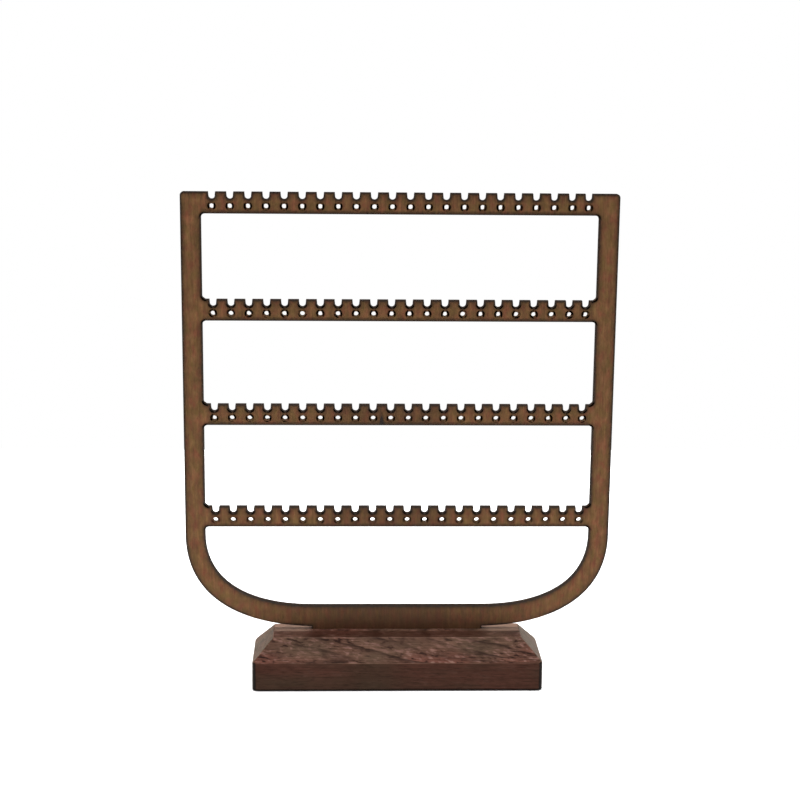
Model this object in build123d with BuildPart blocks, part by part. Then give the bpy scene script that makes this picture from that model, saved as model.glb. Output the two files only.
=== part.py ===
from build123d import *
import os

# Earring display stand: a thin laser-cut plywood panel with four notched and drilled rails,
# plugged by its bottom tab into a slot in a bevelled solid-wood base.
# The origin is on the ground under the middle of the base. +X is right, -Y is the front, +Z is up.

os.makedirs("parts", exist_ok=True)

# Base block
base_length = 166.8
base_depth = 42.0
base_side_height = 16.2
base_bevel_height = 12.6
base_end_bevel_inset = 12.0
base_front_bevel_inset = 9.0
base_corner_radius = 3.2
base_edge_radius = 1.4

# Anti-slip pads under the base
pad_radius = 5.0
pad_height = 0.6
pad_inset_x = 13.0
pad_inset_y = 10.5

# Panel sheet: a cross-grain core between two face veneers
veneer_thickness = 0.6
core_thickness = 2.0
panel_y = 4.2

# Panel outline
panel_width = 244.0
upright_width = 11.4
top_corner_radius = 2.0
window_corner_radius = 2.2
rail_above_hole = 7.8
rail_below_hole = 4.2
panel_above_base = 1.65
bottom_bar_height = 12.6
outer_curve_width = 75.8
inner_curve_width = 61.4
curve_height = 55.1
curve_fullness = 0.635

# Rows of holes and notches
row_count = 4
row_pitch = 60.0
bottom_row_above_base = 66.15
holes_per_row = 22
hole_pitch = 10.0
last_hole_pitch = 9.2
hole_radius = 1.35
notch_depth = 3.95
notch_mouth_width = 4.0
notch_round_radius = 1.8
notch_overcut = 0.6

# Tab and slot
tab_width = 99.0
slot_depth = 18.0
slot_side_clearance = 0.1
slot_end_clearance = 0.2
tab_corner_chamfer = 1.0

# Derived heights and places
sheet_thickness = core_thickness + 2 * veneer_thickness
sheet_front_y = panel_y - sheet_thickness / 2
base_shoulder_z = pad_height + base_side_height
base_top_z = base_shoulder_z + base_bevel_height
tab_end_z = base_top_z - slot_depth
row_heights = [base_top_z + bottom_row_above_base + row * row_pitch for row in range(row_count)]
panel_top_z = row_heights[-1] + rail_above_hole
outer_bottom_z = base_top_z + panel_above_base
inner_bottom_z = outer_bottom_z + bottom_bar_height
curve_top_z = outer_bottom_z + curve_height
outer_half_width = panel_width / 2
inner_half_width = outer_half_width - upright_width
row_length = (holes_per_row - 2) * hole_pitch + last_hole_pitch
hole_places = [hole_pitch * place - row_length / 2 for place in range(holes_per_row - 1)]
hole_places.append(row_length / 2)


def bowl_profile(half_width, top_z, bottom_z, curve_width):
    """Face with straight top, sides and bottom, and with full, rounded lower corners."""
    height = curve_top_z - bottom_z
    flat_half_width = half_width - curve_width
    with BuildSketch() as bowl:
        with BuildLine():
            Polyline((0, top_z), (half_width, top_z), (half_width, curve_top_z))
            Bezier(
                (half_width, curve_top_z),
                (half_width, curve_top_z - curve_fullness * height),
                (flat_half_width + curve_fullness * curve_width, bottom_z),
                (flat_half_width, bottom_z),
            )
            Line((flat_half_width, bottom_z), (0, bottom_z))
            mirror(about=Plane.YZ)
        make_face()
    return bowl.sketch


def notch_profile():
    """U-shaped notch, a little wider at its mouth, with its round end around the origin."""
    round_to_mouth = notch_depth - notch_round_radius
    cut_top = round_to_mouth + notch_overcut
    with BuildSketch() as notch:
        Circle(notch_round_radius)
        with BuildLine():
            Polyline(
                (-notch_round_radius, 0),
                (notch_round_radius, 0),
                (notch_mouth_width / 2, round_to_mouth),
                (notch_mouth_width / 2, cut_top),
                (-notch_mouth_width / 2, cut_top),
                (-notch_mouth_width / 2, round_to_mouth),
                close=True,
            )
        make_face()
    return notch.sketch


def outer_profile():
    """Panel without its openings: the sheet's outline with the tab below it."""
    with BuildSketch() as outer:
        add(bowl_profile(outer_half_width, panel_top_z, outer_bottom_z, outer_curve_width))
        fillet(outer.vertices().group_by(Axis.Y)[-1], top_corner_radius)
        with Locations((0, tab_end_z)):
            Rectangle(tab_width, inner_bottom_z - tab_end_z, align=(Align.CENTER, Align.MIN))
        chamfer(outer.vertices().group_by(Axis.Y)[0], tab_corner_chamfer)
    return outer.sketch


def bottom_window():
    """Opening under the lowest rail, bounded by the curved lower bar."""
    window_top_z = row_heights[0] - rail_below_hole
    with BuildSketch() as window:
        add(bowl_profile(inner_half_width, window_top_z, inner_bottom_z, inner_curve_width))
        fillet(window.vertices().group_by(Axis.Y)[-1], window_corner_radius)
    return window.sketch


def panel_profile():
    """Whole face of the panel, with its windows, notches and holes cut out."""
    notch_centre_above_hole = rail_above_hole - notch_depth + notch_round_radius
    notch = notch_profile()
    with BuildSketch() as face:
        add(outer_profile())
        add(bottom_window(), mode=Mode.SUBTRACT)
        for lower_row_z, upper_row_z in zip(row_heights, row_heights[1:]):
            low = lower_row_z + rail_above_hole
            high = upper_row_z - rail_below_hole
            with Locations((0, (low + high) / 2)):
                RectangleRounded(
                    2 * inner_half_width, high - low, window_corner_radius, mode=Mode.SUBTRACT
                )
        for row_z in row_heights:
            with Locations(*[(x, row_z + notch_centre_above_hole) for x in hole_places]):
                add(notch, mode=Mode.SUBTRACT)
            with Locations(*[(x, row_z) for x in hole_places]):
                Circle(hole_radius, mode=Mode.SUBTRACT)
    return face.sketch


# Panel: three plies cut together, so all share one profile
panel_face = panel_profile()

with BuildPart() as panel_front_veneer:
    with BuildSketch(Plane.XZ.offset(-sheet_front_y - veneer_thickness)):
        add(panel_face)
    extrude(amount=veneer_thickness)

with BuildPart() as panel_core_ply:
    with BuildSketch(Plane.XZ.offset(-sheet_front_y - veneer_thickness - core_thickness)):
        add(panel_face)
    extrude(amount=core_thickness)

with BuildPart() as panel_back_veneer:
    with BuildSketch(Plane.XZ.offset(-sheet_front_y - sheet_thickness)):
        add(panel_face)
    extrude(amount=veneer_thickness)

# Sharp-edged form of the base: straight sides under four flat bevels that meet at the corners
with BuildPart() as bevelled_form:
    with BuildSketch(Plane.XY.offset(pad_height)):
        Rectangle(base_length, base_depth)
    extrude(amount=base_side_height)
    with BuildSketch(Plane.XY.offset(base_shoulder_z)):
        Rectangle(base_length, base_depth)
    with BuildSketch(Plane.XY.offset(base_top_z)):
        Rectangle(base_length - 2 * base_end_bevel_inset, base_depth - 2 * base_front_bevel_inset)
    loft()

# Base block: that form with rounded upright corners and softened edges, and the tab's slot
with BuildPart() as base_block:
    with BuildSketch(Plane.XY.offset(pad_height)):
        RectangleRounded(base_length, base_depth, base_corner_radius)
    extrude(amount=base_side_height + base_bevel_height)
    add(bevelled_form.part, mode=Mode.INTERSECT)
    bevel_edges = base_block.edges().filter_by_position(Axis.Z, base_shoulder_z - 0.01, base_top_z + 0.01)
    fillet(bevel_edges, base_edge_radius)
    with BuildSketch(Plane.XY.offset(base_top_z)):
        with Locations((0, panel_y)):
            Rectangle(tab_width + 2 * slot_end_clearance, sheet_thickness + 2 * slot_side_clearance)
    extrude(amount=-slot_depth, mode=Mode.SUBTRACT)

# Thin round self-adhesive pads near the corners of the underside
pad_x = base_length / 2 - pad_inset_x
pad_y = base_depth / 2 - pad_inset_y
foot_pads = {}
for side, x in (("left", -pad_x), ("right", pad_x)):
    for end, y in (("front", -pad_y), ("rear", pad_y)):
        with BuildPart() as foot_pad:
            with BuildSketch(Plane.XY):
                with Locations((x, y)):
                    Circle(pad_radius)
            extrude(amount=pad_height)
        foot_pads[f"foot_pad_{end}_{side}"] = foot_pad

panel_front_veneer.part.label = "panel_front_veneer"
panel_core_ply.part.label = "panel_core_ply"
panel_back_veneer.part.label = "panel_back_veneer"
base_block.part.label = "base_block"
export_step(panel_front_veneer.part, "parts/panel_front_veneer.step")
export_step(panel_core_ply.part, "parts/panel_core_ply.step")
export_step(panel_back_veneer.part, "parts/panel_back_veneer.step")
export_step(base_block.part, "parts/base_block.step")
for name, pad in foot_pads.items():
    pad.part.label = name
    export_step(pad.part, f"parts/{name}.step")
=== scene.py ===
import math

import bmesh
import bpy
from mathutils import Matrix, Vector
from mathutils.bvhtree import BVHTree
from mathutils.geometry import delaunay_2d_cdt
from mathutils.kdtree import KDTree


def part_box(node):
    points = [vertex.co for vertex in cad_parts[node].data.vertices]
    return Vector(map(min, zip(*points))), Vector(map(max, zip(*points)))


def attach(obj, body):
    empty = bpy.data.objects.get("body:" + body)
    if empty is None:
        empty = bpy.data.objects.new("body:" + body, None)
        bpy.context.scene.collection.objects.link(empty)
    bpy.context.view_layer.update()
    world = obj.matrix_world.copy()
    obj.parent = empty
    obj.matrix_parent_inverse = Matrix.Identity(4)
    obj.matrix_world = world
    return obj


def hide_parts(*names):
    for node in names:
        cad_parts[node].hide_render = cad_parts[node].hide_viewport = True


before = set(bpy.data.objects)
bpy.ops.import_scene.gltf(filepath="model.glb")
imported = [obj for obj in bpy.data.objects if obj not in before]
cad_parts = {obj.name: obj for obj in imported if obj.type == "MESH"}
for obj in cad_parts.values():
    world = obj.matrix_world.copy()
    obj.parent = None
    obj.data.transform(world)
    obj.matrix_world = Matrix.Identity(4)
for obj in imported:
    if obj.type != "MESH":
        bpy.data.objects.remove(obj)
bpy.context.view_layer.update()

# Lengths are in metres, except where a name ends in _mm, and +X is right, -Y is the front,
# +Z is up. The sizes of a material's figure are in millimetres along X, Y and Z.

# Camera
camera_place = Vector((-0.0325, -0.96634, 0.37947))
camera_tilt = 0.2166
camera_turn = 0.0341
camera_roll = 0.0098
camera_lens_mm = 78.75
camera_sensor_mm = 36.0

# Studio
dome_overhead = 1.30
dome_at_horizon = 0.42
dome_below = 0.26
key_strength = 1.5
key_spread = 0.30
key_towards = (0.10, -0.10, -1.0)
floor_size = 1.1
floor_gap = 0.00005
floor_albedo = 0.85
floor_light_strength = 6.0
floor_light_spread = 1.2

# Face mesh of the panel, fine enough to carry the laser's scorch along every cut edge
weld_distance = 0.000002
rim_widths = (0.00030, 0.00035, 0.00040)
face_spacing = 0.0014
cut_sample = 0.0003
scorch_reach_mm = 3.8
scorch_levels = (
    (0.00, 0.97),
    (0.13, 0.91),
    (0.21, 0.80),
    (0.27, 0.67),
    (0.32, 0.55),
    (0.42, 0.39),
    (0.53, 0.27),
    (0.68, 0.15),
    (1.00, 0.00),
)

# Sizes of the part that the materials follow
hole_below_top = 0.0078
row_pitch = 0.060
base_side_height = 0.0162

# Reach of the masks round the rows of holes, and where the bar's painted shade starts and
# stops fading
hole_rim_reach = 0.0030
hole_wall_reach = 0.0016
row_mask_half_length = 0.1075
bar_shade_above_base = (0.014, 0.026)

# Places of the veneer's dark band and knot, and of the rings in the base
dark_band_x = -0.0065
dark_band_below_top = 0.094
knot_x = -0.0096
knot_below_hole = 0.0020
ring_axis_y = 0.006
ring_axis_depth = 0.060
rings_per_metre = 215

# Round pads under the base
pad_segments = 64
pad_rim_radius = 0.00022
pad_rim_steps = 5
pad_dish_depth = 0.00015
pad_dish_share = 0.72


def albedo(red, green, blue):
    """Linear colour, with alpha, of a colour given in 0 to 255 display values."""
    parts = []
    for value in (red, green, blue):
        share = value / 255
        parts.append(share / 12.92 if share < 0.04045 else ((share + 0.055) / 1.055) ** 2.4)
    return (*parts, 1.0)


def grey(level):
    """Linear grey, with alpha."""
    return (level, level, level, 1.0)


# ---------------------------------------------------------------- shader helpers


class Graph:
    """Short ways to add and join shader nodes in one node tree."""

    def __init__(self, tree):
        self.tree = tree
        self.coordinates = tree.nodes.new("ShaderNodeTexCoord").outputs

    def add(self, kind, **settings):
        node = self.tree.nodes.new(kind)
        for name, value in settings.items():
            setattr(node, name, value)
        return node

    def join(self, source, socket):
        if isinstance(source, bpy.types.NodeSocket):
            self.tree.links.new(source, socket)
        else:
            socket.default_value = source

    def math(self, operation, *sources):
        node = self.add("ShaderNodeMath", operation=operation)
        for source, socket in zip(sources, node.inputs):
            self.join(source, socket)
        return node.outputs[0]

    def product(self, *sources):
        result = sources[0]
        for source in sources[1:]:
            result = self.math("MULTIPLY", result, source)
        return result

    def parts(self, vector):
        node = self.add("ShaderNodeSeparateXYZ")
        self.join(vector, node.inputs[0])
        return node.outputs

    def vector(self, x, y, z):
        node = self.add("ShaderNodeCombineXYZ")
        for source, socket in zip((x, y, z), node.inputs):
            self.join(source, socket)
        return node.outputs[0]

    def vector_math(self, operation, vector, amount):
        node = self.add("ShaderNodeVectorMath", operation=operation)
        self.join(vector, node.inputs[0])
        node.inputs[1].default_value = amount
        return node.outputs[0]

    def noise(self, vector, size_mm, detail=2.0, roughness=0.5):
        """Noise from 0 to 1 whose patches measure size_mm along X, Y and Z."""
        scaled = self.vector_math("MULTIPLY", vector, [1000 / size for size in size_mm])
        node = self.add("ShaderNodeTexNoise")
        self.join(scaled, node.inputs["Vector"])
        node.inputs["Scale"].default_value = 1.0
        node.inputs["Detail"].default_value = detail
        node.inputs["Roughness"].default_value = roughness
        return node.outputs["Fac"]

    def wander(self, vector, size_mm, width):
        """Noise centred on 0, with width between its ends, for bending lines."""
        centred = self.math("SUBTRACT", self.noise(vector, size_mm, detail=1.0), 0.5)
        return self.product(centred, width)

    def span(self, value, low, high, new_low=0.0, new_high=1.0):
        node = self.add("ShaderNodeMapRange", interpolation_type="SMOOTHSTEP")
        for source, socket in zip((value, low, high, new_low, new_high), node.inputs):
            self.join(source, socket)
        return node.outputs[0]

    def near(self, value, middle, reach):
        """1 where value is middle, and 0 from reach away."""
        distance = self.math("ABSOLUTE", self.math("SUBTRACT", value, middle))
        return self.span(distance, 0.0, reach, 1.0, 0.0)

    def ramp(self, value, *stops):
        node = self.add("ShaderNodeValToRGB")
        elements = node.color_ramp.elements
        while len(elements) < len(stops):
            elements.new(0.5)
        for element, (position, colour) in zip(elements, stops):
            element.position = position
            element.color = colour
        self.join(value, node.inputs[0])
        return node.outputs[0]

    def mix(self, factor, first, second):
        node = self.add("ShaderNodeMix", data_type="RGBA")
        self.join(factor, node.inputs[0])
        self.join(first, node.inputs[6])
        self.join(second, node.inputs[7])
        return node.outputs[2]


class Material(Graph):
    """A material with one principled shader."""

    def __init__(self, name, specular):
        self.material = bpy.data.materials.new(name)
        self.material.use_nodes = True
        super().__init__(self.material.node_tree)
        self.place = self.coordinates["Object"]
        self.x, self.y, self.z = self.parts(self.place)
        self.normal_x, _, self.normal_z = self.parts(self.coordinates["Normal"])
        self.shader = self.tree.nodes["Principled BSDF"]
        self.shader.inputs["Specular IOR Level"].default_value = specular

    def attribute(self, name):
        return self.add("ShaderNodeAttribute", attribute_name=name).outputs["Fac"]

    def finish(self, colour, roughness, height, height_mm):
        """Joins colour, roughness and bump to the shader, and gives the Blender material."""
        bump = self.add("ShaderNodeBump")
        bump.inputs["Distance"].default_value = height_mm / 1000
        self.join(height, bump.inputs["Height"])
        self.join(bump.outputs[0], self.shader.inputs["Normal"])
        self.join(colour, self.shader.inputs["Base Color"])
        self.join(roughness, self.shader.inputs["Roughness"])
        return self.material


# ---------------------------------------------------------------- camera and studio


def add_object(name, data):
    thing = bpy.data.objects.new(name, data)
    bpy.context.scene.collection.objects.link(thing)
    return thing


def make_camera():
    data = bpy.data.cameras.new("camera")
    data.lens = camera_lens_mm
    data.sensor_width = camera_sensor_mm
    camera = add_object("camera", data)
    camera.matrix_world = (
        Matrix.Translation(camera_place)
        @ Matrix.Rotation(-camera_turn, 4, "Z")
        @ Matrix.Rotation(math.pi / 2 - camera_tilt, 4, "X")
        @ Matrix.Rotation(camera_roll, 4, "Z")
    )
    bpy.context.scene.camera = camera


def make_world():
    """A plain white backdrop, and a soft dome for the light: bright above and dim below."""
    world = bpy.data.worlds.new("studio")
    bpy.context.scene.world = world
    world.use_nodes = True
    g = Graph(world.node_tree)
    backdrop = g.tree.nodes["Background"]
    backdrop.inputs["Color"].default_value = grey(1.0)
    up = g.parts(g.coordinates["Generated"])[2]
    rise = g.product(g.math("MAXIMUM", up, 0.0), dome_overhead - dome_at_horizon)
    above = g.math("ADD", rise, dome_at_horizon)
    dome = g.add("ShaderNodeBackground")
    g.join(g.span(up, -0.05, 0.05, dome_below, above), dome.inputs["Strength"])
    chosen = g.add("ShaderNodeMixShader")
    g.join(g.add("ShaderNodeLightPath").outputs["Is Camera Ray"], chosen.inputs[0])
    g.join(dome.outputs[0], chosen.inputs[1])
    g.join(backdrop.outputs[0], chosen.inputs[2])
    g.join(chosen.outputs[0], g.tree.nodes["World Output"].inputs["Surface"])


def make_sun(name, strength, spread, towards, lit):
    """A soft distant light that lights only one collection."""
    data = bpy.data.lights.new(name, "SUN")
    data.energy = strength
    data.angle = spread
    sun = add_object(name, data)
    sun.rotation_euler = Vector(towards).to_track_quat("-Z", "Y").to_euler()
    sun.light_linking.receiver_collection = lit


def make_floor():
    """A sheet of white paper, overlit so that only the contact with the base shows on it."""
    bpy.ops.mesh.primitive_plane_add(size=floor_size, location=(0, 0, -floor_gap))
    floor = bpy.context.active_object
    floor.name = "floor"
    floor.visible_diffuse = False
    material = bpy.data.materials.new("floor_white")
    material.use_nodes = True
    shader = material.node_tree.nodes["Principled BSDF"]
    shader.inputs["Base Color"].default_value = grey(floor_albedo)
    shader.inputs["Roughness"].default_value = 0.9
    shader.inputs["Specular IOR Level"].default_value = 0.0
    floor.data.materials.append(material)
    lit = bpy.data.collections.new("floor_lit")
    lit.objects.link(floor)
    make_sun("floor_light", floor_light_strength, floor_light_spread, (0, 0, -1), lit)


# ---------------------------------------------------------------- materials


def veneer_material(name, figure_shift, knot_depth):
    """Stained face veneer with upright grain, scorched dark along its cut edges."""
    g = Material(name, specular=0.28)
    place = g.vector_math("ADD", g.place, figure_shift)
    x, y, z = g.parts(place)
    bent_x = g.math("ADD", x, g.wander(place, (70, 1000, 110), 0.008))
    along = g.vector(bent_x, 0.0, z)

    mottle = g.noise(along, (3.6, 1000, 7.5), detail=3, roughness=0.6)
    hue = g.noise(along, (4.4, 1000, 6.5), detail=2)
    streaks = g.noise(along, (1.6, 1000, 34), detail=4, roughness=0.6)
    fibres = g.noise(along, (0.32, 1000, 12), detail=3, roughness=0.6)
    pores = g.span(g.noise(along, (0.22, 1000, 3.2), detail=1), 0.62, 0.72)

    brown = g.ramp(
        mottle,
        (0.32, albedo(110, 72, 43)),
        (0.50, albedo(158, 110, 69)),
        (0.68, albedo(203, 149, 97)),
    )
    tint = g.ramp(
        hue,
        (0.34, albedo(140, 116, 60)),
        (0.50, albedo(160, 113, 72)),
        (0.66, albedo(182, 100, 76)),
    )
    colour = g.mix(0.5, brown, tint)
    colour = g.mix(g.span(streaks, 0.34, 0.66, 0.34, 0.0), colour, albedo(84, 54, 34))
    colour = g.mix(g.span(fibres, 0.35, 0.75, 0.0, 0.18), colour, albedo(214, 164, 116))
    colour = g.mix(g.product(pores, 0.45), colour, albedo(56, 36, 22))
    colour = g.mix(g.product(dark_band_mask(g), 0.36), colour, albedo(70, 44, 28))
    # Painted shade on the bottom bar, near the base
    colour = g.mix(g.product(painted_bar_shade_mask(g), 0.42), colour, albedo(70, 46, 26))

    if knot_depth:
        colour = g.mix(g.product(knot_mask(g), knot_depth), colour, albedo(24, 10, 8))

    # Painted shade at the panel's foot, where the base hides the light from below
    colour = g.mix(painted_foot_shade_mask(g), colour, albedo(66, 36, 22))

    ragged = g.wander(g.place, (1.4, 1000, 2.2), 0.9)
    cut_distance = g.math("ADD", g.attribute("cut_distance_mm"), ragged)
    levels = [(share, grey(level)) for share, level in scorch_levels]
    burn = g.ramp(g.product(cut_distance, 1 / scorch_reach_mm), *levels)
    around_holes = row_mask(g, hole_rim_reach)
    burn = g.product(burn, g.math("MULTIPLY_ADD", around_holes, -0.50, 1.0))
    colour = g.mix(burn, colour, albedo(26, 18, 12))

    height = g.math("SUBTRACT", g.product(fibres, 0.4), pores)
    return g.finish(colour, g.span(streaks, 0.3, 0.7, 0.46, 0.62), height, height_mm=0.03)


def dark_band_mask(g):
    """A darker stripe of the veneer, left of the middle, from the third rail downwards."""
    top_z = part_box("panel_front_veneer")[1].z - dark_band_below_top
    sway = g.wander(g.place, (30, 1000, 60), 0.02)
    middle = g.math("ABSOLUTE", g.math("ADD", g.x, g.math("ADD", sway, -dark_band_x)))
    low = g.span(g.z, top_z - 0.020, top_z + 0.010, 1.0, 0.0)
    return g.product(g.span(middle, 0.026, 0.044, 1.0, 0.0), low)


def painted_bar_shade_mask(g):
    """Painted shade on the bottom bar near the base, darker than the curved corners it runs
    into.
    """
    base_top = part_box("base_block")[1].z
    full, gone = bar_shade_above_base
    low = g.span(g.z, base_top + full, base_top + gone, 1.0, 0.0)
    return g.product(low, g.span(g.math("ABSOLUTE", g.x), 0.060, 0.098, 1.0, 0.0))


def knot_mask(g):
    """Small dark pin knot at the third rail from the top, with a tail that fades upwards."""
    hole_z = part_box("panel_front_veneer")[1].z - hole_below_top - 2 * row_pitch
    sway = g.wander(g.place, (3, 1000, 4), 0.0016)
    across = g.math("ADD", g.x, g.math("ADD", sway, -knot_x))
    above = g.math("SUBTRACT", g.z, hole_z - knot_below_hole)
    core = g.product(g.near(across, 0.0, 0.0019), g.near(above, 0.0, 0.0045))
    tail = g.product(g.near(across, -0.0003, 0.0017), g.near(above, 0.0030, 0.0062), 0.55)
    return g.math("MINIMUM", g.math("ADD", g.product(core, 1.5), tail), 1.0)


def painted_foot_shade_mask(g):
    """Painted shade where the panel enters the base, darkest low down and in the middle."""
    base_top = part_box("base_block")[1].z
    low = g.span(g.z, base_top, base_top + 0.014, 0.62, 0.0)
    middle = g.span(g.math("ABSOLUTE", g.x), 0.040, 0.070, 1.0, 0.25)
    return g.product(low, middle)


def row_mask(g, reach):
    """1 at the height of each row of holes, and 0 from reach above and below it."""
    top_row_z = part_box("panel_core_ply")[1].z - hole_below_top
    rows = g.product(g.math("SUBTRACT", g.z, top_row_z), 1 / row_pitch)
    offset = g.math("ABSOLUTE", g.math("SUBTRACT", rows, g.math("ROUND", rows)))
    level = g.span(offset, 0.7 * reach / row_pitch, reach / row_pitch, 1.0, 0.0)
    sideways = g.math("ABSOLUTE", g.x)
    low, high = row_mask_half_length - 0.001, row_mask_half_length + 0.001
    return g.product(level, g.span(sideways, low, high, 1.0, 0.0))


def cut_edge_material(name, light, dark, line_mm):
    """Laser-charred wall of one ply, with fine lines across its thickness.

    The floors of the holes, which face up, get a painted highlight, lighter than the other
    cuts.
    """
    g = Material(name, specular=0.15)
    lines = g.noise(g.place, (line_mm, 2.5, line_mm), detail=3, roughness=0.7)
    soot = g.noise(g.place, (4, 4, 4), detail=3)
    colour = g.ramp(lines, (0.30, dark), (0.72, light))
    colour = g.mix(g.span(soot, 0.35, 0.7, 0.6, 0.0), colour, albedo(17, 12, 9))
    # Painted highlight on the up-facing floors of the holes
    painted_light_on_hole_floors = g.product(g.span(g.normal_z, 0.30, 0.80), row_mask(g, hole_wall_reach))
    colour = g.mix(g.product(painted_light_on_hole_floors, 0.7), colour, albedo(178, 148, 114))
    return g.finish(colour, g.span(soot, 0.3, 0.7, 0.75, 0.9), lines, height_mm=0.05)


def base_wood_material():
    """Solid walnut with its grain along X and its rings as arcs on the ends."""
    g = Material("solid_walnut", specular=0.07)
    bottom_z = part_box("base_block")[0].z
    shoulder_z = bottom_z + base_side_height
    bevel = g.span(g.normal_z, 0.25, 0.50)

    # Rings round an axis under the block. On the bevels they run out towards the right.
    run_out = g.product(g.x, 0.16, g.span(g.z, shoulder_z - 0.003, shoulder_z + 0.004))
    up = g.math("ADD", g.math("ADD", g.z, ring_axis_depth), run_out)
    up = g.math("ADD", up, g.wander(g.place, (90, 26, 26), 0.0070))
    up = g.math("ADD", up, g.wander(g.place, (13, 5, 5), 0.0016))
    across = g.math("SUBTRACT", g.y, ring_axis_y)
    radius = g.math("SQRT", g.math("ADD", g.product(across, across), g.product(up, up)))
    ring = g.math("FRACT", g.product(radius, rings_per_metre))
    late_wood = g.ramp(
        ring,
        (0.00, grey(0.10)),
        (0.60, grey(0.25)),
        (0.90, grey(1.0)),
        (1.00, grey(0.05)),
    )
    clear_rings = g.span(g.noise(g.place, (30, 14, 14)), 0.35, 0.62, 0.25, 0.9)
    late_wood = g.product(late_wood, clear_rings, g.math("MULTIPLY_ADD", bevel, 0.65, 0.35))

    patches = g.noise(g.place, (34, 13, 13), detail=3)
    hue = g.noise(g.place, (48, 18, 18), detail=2)
    leaning = g.vector(g.x, g.y, g.math("ADD", g.z, g.product(g.x, 0.22)))
    curl = g.noise(leaning, (5.0, 2.0, 1.7), detail=3)
    fibres = g.noise(g.place, (26, 0.6, 0.6), detail=4, roughness=0.65)
    pores = g.span(g.noise(g.place, (6.5, 0.38, 0.38), detail=1), 0.60, 0.70)

    brown = g.ramp(
        patches,
        (0.32, albedo(95, 67, 55)),
        (0.50, albedo(123, 89, 73)),
        (0.68, albedo(151, 108, 91)),
    )
    tint = g.ramp(
        hue,
        (0.36, albedo(117, 99, 80)),
        (0.50, albedo(123, 88, 73)),
        (0.62, albedo(150, 89, 77)),
    )
    colour = g.mix(0.5, brown, tint)

    # Light and dark flecks of curly grain, strongest on the bevels; the light flecks are
    # partly a painted sheen
    figure = g.span(g.noise(g.place, (42, 16, 16)), 0.40, 0.58, 0.45, 1.0)
    figure = g.product(figure, g.math("MULTIPLY_ADD", bevel, 0.80, 0.20))
    colour = g.mix(g.product(g.span(curl, 0.52, 0.68), figure), colour, albedo(176, 132, 118))
    colour = g.mix(g.product(g.span(curl, 0.47, 0.32), figure), colour, albedo(56, 34, 28))
    colour = g.mix(late_wood, colour, albedo(50, 33, 26))
    colour = g.mix(g.span(fibres, 0.30, 0.62, 0.45, 0.0), colour, albedo(58, 38, 30))
    colour = g.mix(g.product(pores, 0.7), colour, albedo(34, 22, 17))

    # Painted shade: the upright sides darker than the bevels, and a painted contact shadow
    # along the bottom
    colour = g.mix(g.math("MULTIPLY_ADD", bevel, -0.48, 0.48), colour, albedo(62, 42, 30))
    painted_contact_shadow = g.span(g.z, bottom_z + 0.0003, bottom_z + 0.0014, 0.9, 0.0)
    colour = g.mix(painted_contact_shadow, colour, albedo(16, 12, 10))
    # Painted sheen: the end bevels, which face up, lighter and greyer
    end_bevel_sheen = g.span(g.math("ABSOLUTE", g.normal_x), 0.45, 0.70, 0.0, 0.55)
    colour = g.mix(g.product(end_bevel_sheen, bevel), colour, albedo(116, 98, 74))
    end, corner = end_grain_and_corner_shade_masks(g)
    colour = g.mix(end, colour, albedo(36, 25, 19))
    # Painted shade on the rounded upright corners
    colour = g.mix(corner, colour, albedo(16, 12, 10))
    # Rounded edges lighter: partly wear, partly a painted highlight
    colour = g.mix(worn_edge_and_highlight_mask(g), colour, albedo(176, 138, 114))
    # Painted shadow of the panel on the top ahead of it, and painted light on the top beside
    # its tab
    painted_panel_shadow, wear_and_painted_light = top_masks(g)
    colour = g.mix(painted_panel_shadow, colour, albedo(56, 29, 18))
    colour = g.mix(wear_and_painted_light, colour, albedo(206, 168, 146))

    height = g.math("SUBTRACT", g.product(fibres, 0.5), pores)
    return g.finish(colour, g.span(fibres, 0.3, 0.7, 0.42, 0.60), height, height_mm=0.05)


def end_grain_and_corner_shade_masks(g):
    """The upright ends drink the most oil; the rounded upright corners beside them get painted
    shade, darker still.
    """
    sideways = g.math("ABSOLUTE", g.normal_x)
    upright = g.span(g.normal_z, 0.10, 0.45, 1.0, 0.0)
    end = g.product(g.span(sideways, 0.85, 0.98), upright, 0.6)
    corner = g.product(g.near(sideways, 0.62, 0.48), upright, 1.2)
    return end, g.math("MINIMUM", corner, 0.95)


def worn_edge_and_highlight_mask(g):
    """The rounded edges below and above the bevels are rubbed lighter, partly wear and partly
    a painted highlight.
    """
    shoulder = g.near(g.normal_z, 0.36, 0.20)
    top_edge = g.product(g.near(g.normal_z, 0.86, 0.10), 0.7)
    rounded = g.math("MAXIMUM", shoulder, top_edge)
    wear_and_painted_light = g.span(g.noise(g.place, (14, 6, 6), detail=3), 0.36, 0.66, 0.05, 0.40)
    return g.product(rounded, wear_and_painted_light)


def top_masks(g):
    """Parts of the block's top: a painted shadow of the panel ahead of it, and painted light
    beside its tab.
    """
    panel_front_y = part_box("panel_front_veneer")[0].y
    top = g.span(g.normal_z, 0.93, 0.99)
    ahead = g.span(g.y, panel_front_y - 0.005, panel_front_y - 0.002, 1.0, 0.0)
    beside = g.span(g.math("ABSOLUTE", g.x), 0.048, 0.056)
    painted_panel_shadow = g.product(top, ahead, g.math("MULTIPLY_ADD", beside, -0.40, 0.75))
    wear_and_painted_light = g.product(top, beside, g.math("SUBTRACT", 1.0, ahead), 0.40)
    return painted_panel_shadow, wear_and_painted_light


def pad_material():
    """Matt black rubber with a fine speckle."""
    g = Material("pad_rubber", specular=0.30)
    grain = g.noise(g.place, (0.4, 0.4, 0.4), detail=3)
    colour = g.ramp(grain, (0.35, albedo(24, 24, 24)), (0.7, albedo(46, 45, 44)))
    return g.finish(colour, g.span(grain, 0.3, 0.7, 0.75, 0.9), grain, height_mm=0.03)


# ---------------------------------------------------------------- pieces


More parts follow.
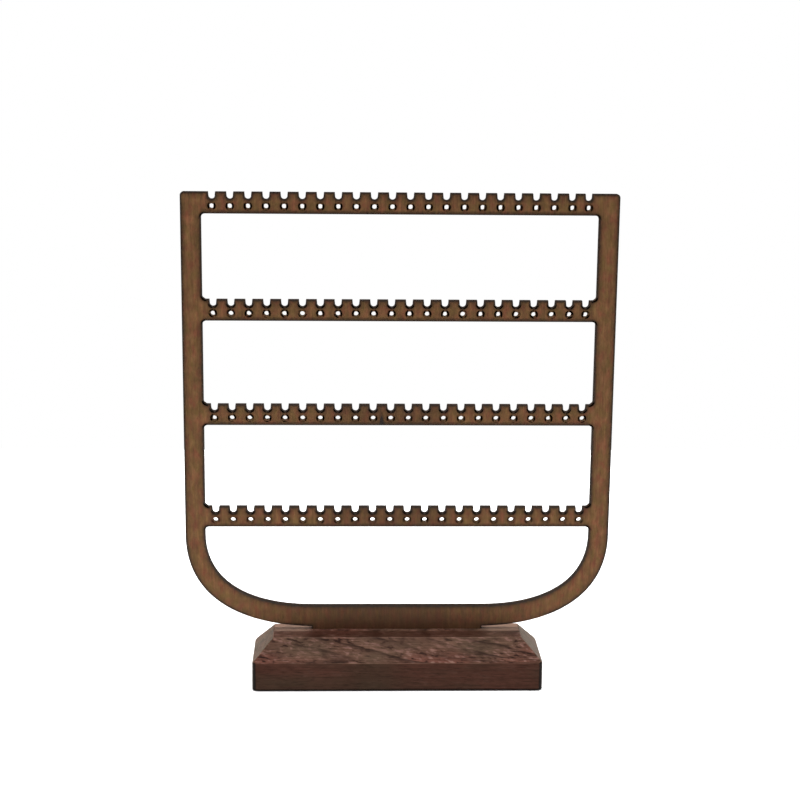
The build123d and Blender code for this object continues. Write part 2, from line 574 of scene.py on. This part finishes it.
class Outline:
    """The outline of one face of a sheet: its material, and its cut edges."""

    def __init__(self, sheet, faces, side):
        self.side = side
        self.material = BVHTree.FromBMesh(sheet)
        self.cuts = self.find_cuts(sheet, set(faces))

    def find_cuts(self, sheet, faces):
        """Search tree of points along the edges where the faces end."""
        points = []
        for edge in sheet.edges:
            if sum(face in faces for face in edge.link_faces) == 1:
                first, second = (vertex.co for vertex in edge.verts)
                steps = math.ceil(edge.calc_length() / cut_sample)
                points.extend(first.lerp(second, step / steps) for step in range(steps))
        cuts = KDTree(len(points))
        for number, point in enumerate(points):
            cuts.insert(point, number)
        cuts.balance()
        return cuts

    def cut_distance(self, point):
        return self.cuts.find(point)[2]

    def covers(self, point):
        """Whether a point in the plane of the face has material behind it."""
        start = point + Vector((0, self.side * cut_sample, 0))
        inward = Vector((0, -self.side, 0))
        return self.material.ray_cast(start, inward, 2 * cut_sample)[0] is not None


def cut_sheet(node, name, side, face_material, edge_material):
    """A veneer whose fine face mesh carries its distance from the nearest cut edge.

    Side is -1 for the front veneer and 1 for the back one.
    """
    sheet = bmesh.new()
    sheet.from_mesh(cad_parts[node].data)
    bmesh.ops.remove_doubles(sheet, verts=sheet.verts, dist=weld_distance)
    sheet.normal_update()
    cut_distance = sheet.verts.layers.float.new("cut_distance_mm")
    shown = [face for face in sheet.faces if face.normal.y * side > 0.9]
    outline = Outline(sheet, shown, side)
    for width in rim_widths:
        bmesh.ops.inset_region(
            sheet, faces=shown, thickness=width, use_boundary=True, use_even_offset=True
        )
    refill(sheet, shown, outline)
    for face in sheet.faces:
        if face.normal.y * side > 0.9:
            for vertex in face.verts:
                vertex[cut_distance] = 1000 * outline.cut_distance(vertex.co)
    for face in sheet.faces:
        face.material_index = 0 if abs(face.normal.y) > 0.9 else 1
    mesh = bpy.data.meshes.new(name)
    sheet.to_mesh(mesh)
    sheet.free()
    mesh.materials.append(face_material)
    mesh.materials.append(edge_material)
    piece = add_object(name, mesh)
    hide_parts(node)
    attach(piece, "panel")
    return piece


def grid_points(low, high, outline):
    """Staggered points between two corners that lie on the face and clear of its rim."""
    clear = sum(rim_widths) + face_spacing / 2
    points = []
    for row in range(math.ceil((high.z - low.z) / face_spacing)):
        stagger = face_spacing / 2 * (row % 2)
        for column in range(math.ceil((high.x - low.x) / face_spacing)):
            along = low.x + column * face_spacing + stagger
            point = Vector((along, low.y, low.z + row * face_spacing))
            if outline.cut_distance(point) > clear and outline.covers(point):
                points.append(point)
    return points


def refill(sheet, inner, outline):
    """Replaces the faces inside the rim, which the inset has squeezed, with an even mesh."""
    bmesh.ops.delete(sheet, geom=inner, context="FACES")
    loops = [edge for edge in sheet.edges if edge.is_boundary]
    rim = list(dict.fromkeys(vertex for edge in loops for vertex in edge.verts))
    number_of = {vertex: number for number, vertex in enumerate(rim)}
    joined = [tuple(number_of[vertex] for vertex in edge.verts) for edge in loops]
    places = [vertex.co.copy() for vertex in rim]
    low = Vector([min(axis) for axis in zip(*places)])
    high = Vector([max(axis) for axis in zip(*places)])
    places.extend(grid_points(low, high, outline))
    flat = [Vector((1000 * place.x, 1000 * place.z)) for place in places]
    _, _, triangles, sources, _, _ = delaunay_2d_cdt(flat, joined, [], 1, 0.00001)
    used = dict(enumerate(rim))
    for triangle in triangles:
        numbers = [sources[corner][0] for corner in triangle]
        middle = sum((places[number] for number in numbers), Vector()) / 3
        if not outline.covers(middle):
            continue
        for number in numbers:
            if number not in used:
                used[number] = sheet.verts.new(places[number])
        if outline.side > 0:
            numbers.reverse()
        sheet.faces.new([used[number] for number in numbers])
    sheet.normal_update()


def paint(node, material):
    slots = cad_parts[node].data.materials
    slots.clear()
    slots.append(material)
    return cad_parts[node]


def pad_profile(radius, height):
    """Radius and height of each point of the pad's outline, from its underside to its top."""
    dish = pad_dish_share * radius
    points = [(dish, pad_dish_depth), (dish + pad_dish_depth, 0.0)]
    for centre_z, start in ((pad_rim_radius, -90), (height - pad_rim_radius, 0)):
        for step in range(pad_rim_steps + 1):
            angle = math.radians(start + 90 * step / pad_rim_steps)
            along = radius - pad_rim_radius + pad_rim_radius * math.cos(angle)
            points.append((along, centre_z + pad_rim_radius * math.sin(angle)))
    return points


def make_pad(node, material):
    """A round pad with rounded rims and a shallow dish in its underside."""
    low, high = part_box(node)
    middle = (low + high) / 2
    profile = pad_profile((high.x - low.x) / 2, high.z - low.z)
    mesh = bmesh.new()
    rings = []
    for along, up in profile:
        ring = []
        for segment in range(pad_segments):
            angle = math.tau * segment / pad_segments
            offset = Vector((along * math.cos(angle), along * math.sin(angle), up))
            ring.append(mesh.verts.new(Vector((middle.x, middle.y, low.z)) + offset))
        rings.append(ring)
    for lower, upper in zip(rings, rings[1:]):
        for first in range(pad_segments):
            second = (first + 1) % pad_segments
            mesh.faces.new((lower[first], lower[second], upper[second], upper[first]))
    mesh.faces.new(list(reversed(rings[0])))
    mesh.faces.new(rings[-1])
    data = bpy.data.meshes.new(node + "_moulded")
    mesh.to_mesh(data)
    mesh.free()
    data.materials.append(material)
    piece = add_object(node + "_moulded", data)
    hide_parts(node)
    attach(piece, "base")
    return piece


def make_object():
    """Every shown piece of the stand, in one list."""
    veneer_edge = cut_edge_material(
        "charred_veneer_edge", albedo(62, 42, 28), albedo(28, 18, 12), line_mm=0.5
    )
    core_edge = cut_edge_material(
        "charred_core_edge", albedo(84, 60, 40), albedo(36, 24, 16), line_mm=0.9
    )
    front = veneer_material("stained_veneer_front", (0.0, 0.0, 0.0), knot_depth=0.95)
    back = veneer_material("stained_veneer_back", (0.37, 0.0, 0.61), knot_depth=0.0)
    rubber = pad_material()
    made = [
        cut_sheet("panel_front_veneer", "front_veneer_scorched", -1, front, veneer_edge),
        cut_sheet("panel_back_veneer", "back_veneer_scorched", 1, back, veneer_edge),
        paint("panel_core_ply", core_edge),
        paint("base_block", base_wood_material()),
    ]
    for node in sorted(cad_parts):
        if node.startswith("foot_pad"):
            made.append(make_pad(node, rubber))
    return made


bpy.context.scene.view_settings.view_transform = "Standard"
make_camera()
make_world()
make_floor()
object_lit = bpy.data.collections.new("object_lit")
for shown_piece in make_object():
    object_lit.objects.link(shown_piece)
make_sun("key", key_strength, key_spread, key_towards, object_lit)
